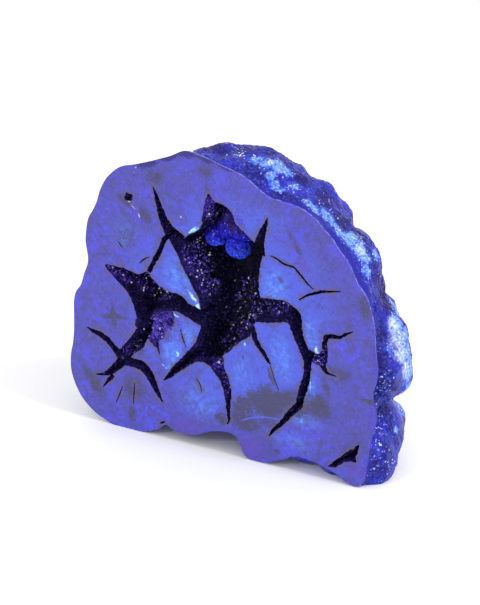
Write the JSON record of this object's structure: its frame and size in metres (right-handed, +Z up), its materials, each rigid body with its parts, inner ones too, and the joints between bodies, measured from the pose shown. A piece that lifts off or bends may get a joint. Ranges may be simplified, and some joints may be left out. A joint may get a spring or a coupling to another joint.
{
  "type": "azurite specimen",
  "caption": "Sawn half of an azurite nodule standing on its rim, with a flat cut face, radiating cracks and crystal-lined hollows.",
  "frame": {"origin": "on the ground, under the middle of the piece's bounding box", "axes": "+Z up, -Y out of the sawn face towards the viewer, +X to the viewer's right along the sawn face"},
  "size_m": [0.0636, 0.0288, 0.0563],
  "materials": {
    "massive_azurite": "matt sawn face, dark glittering rind",
    "dark_druse": "small bright crystals",
    "side_druse": "small bright crystals"
  },
  "bodies": {
    "root": {"nodule": "massive_azurite", "main_hollow_druse": "dark_druse", "side_hollow_druse": "side_druse"}
  },
  "joints": []
}
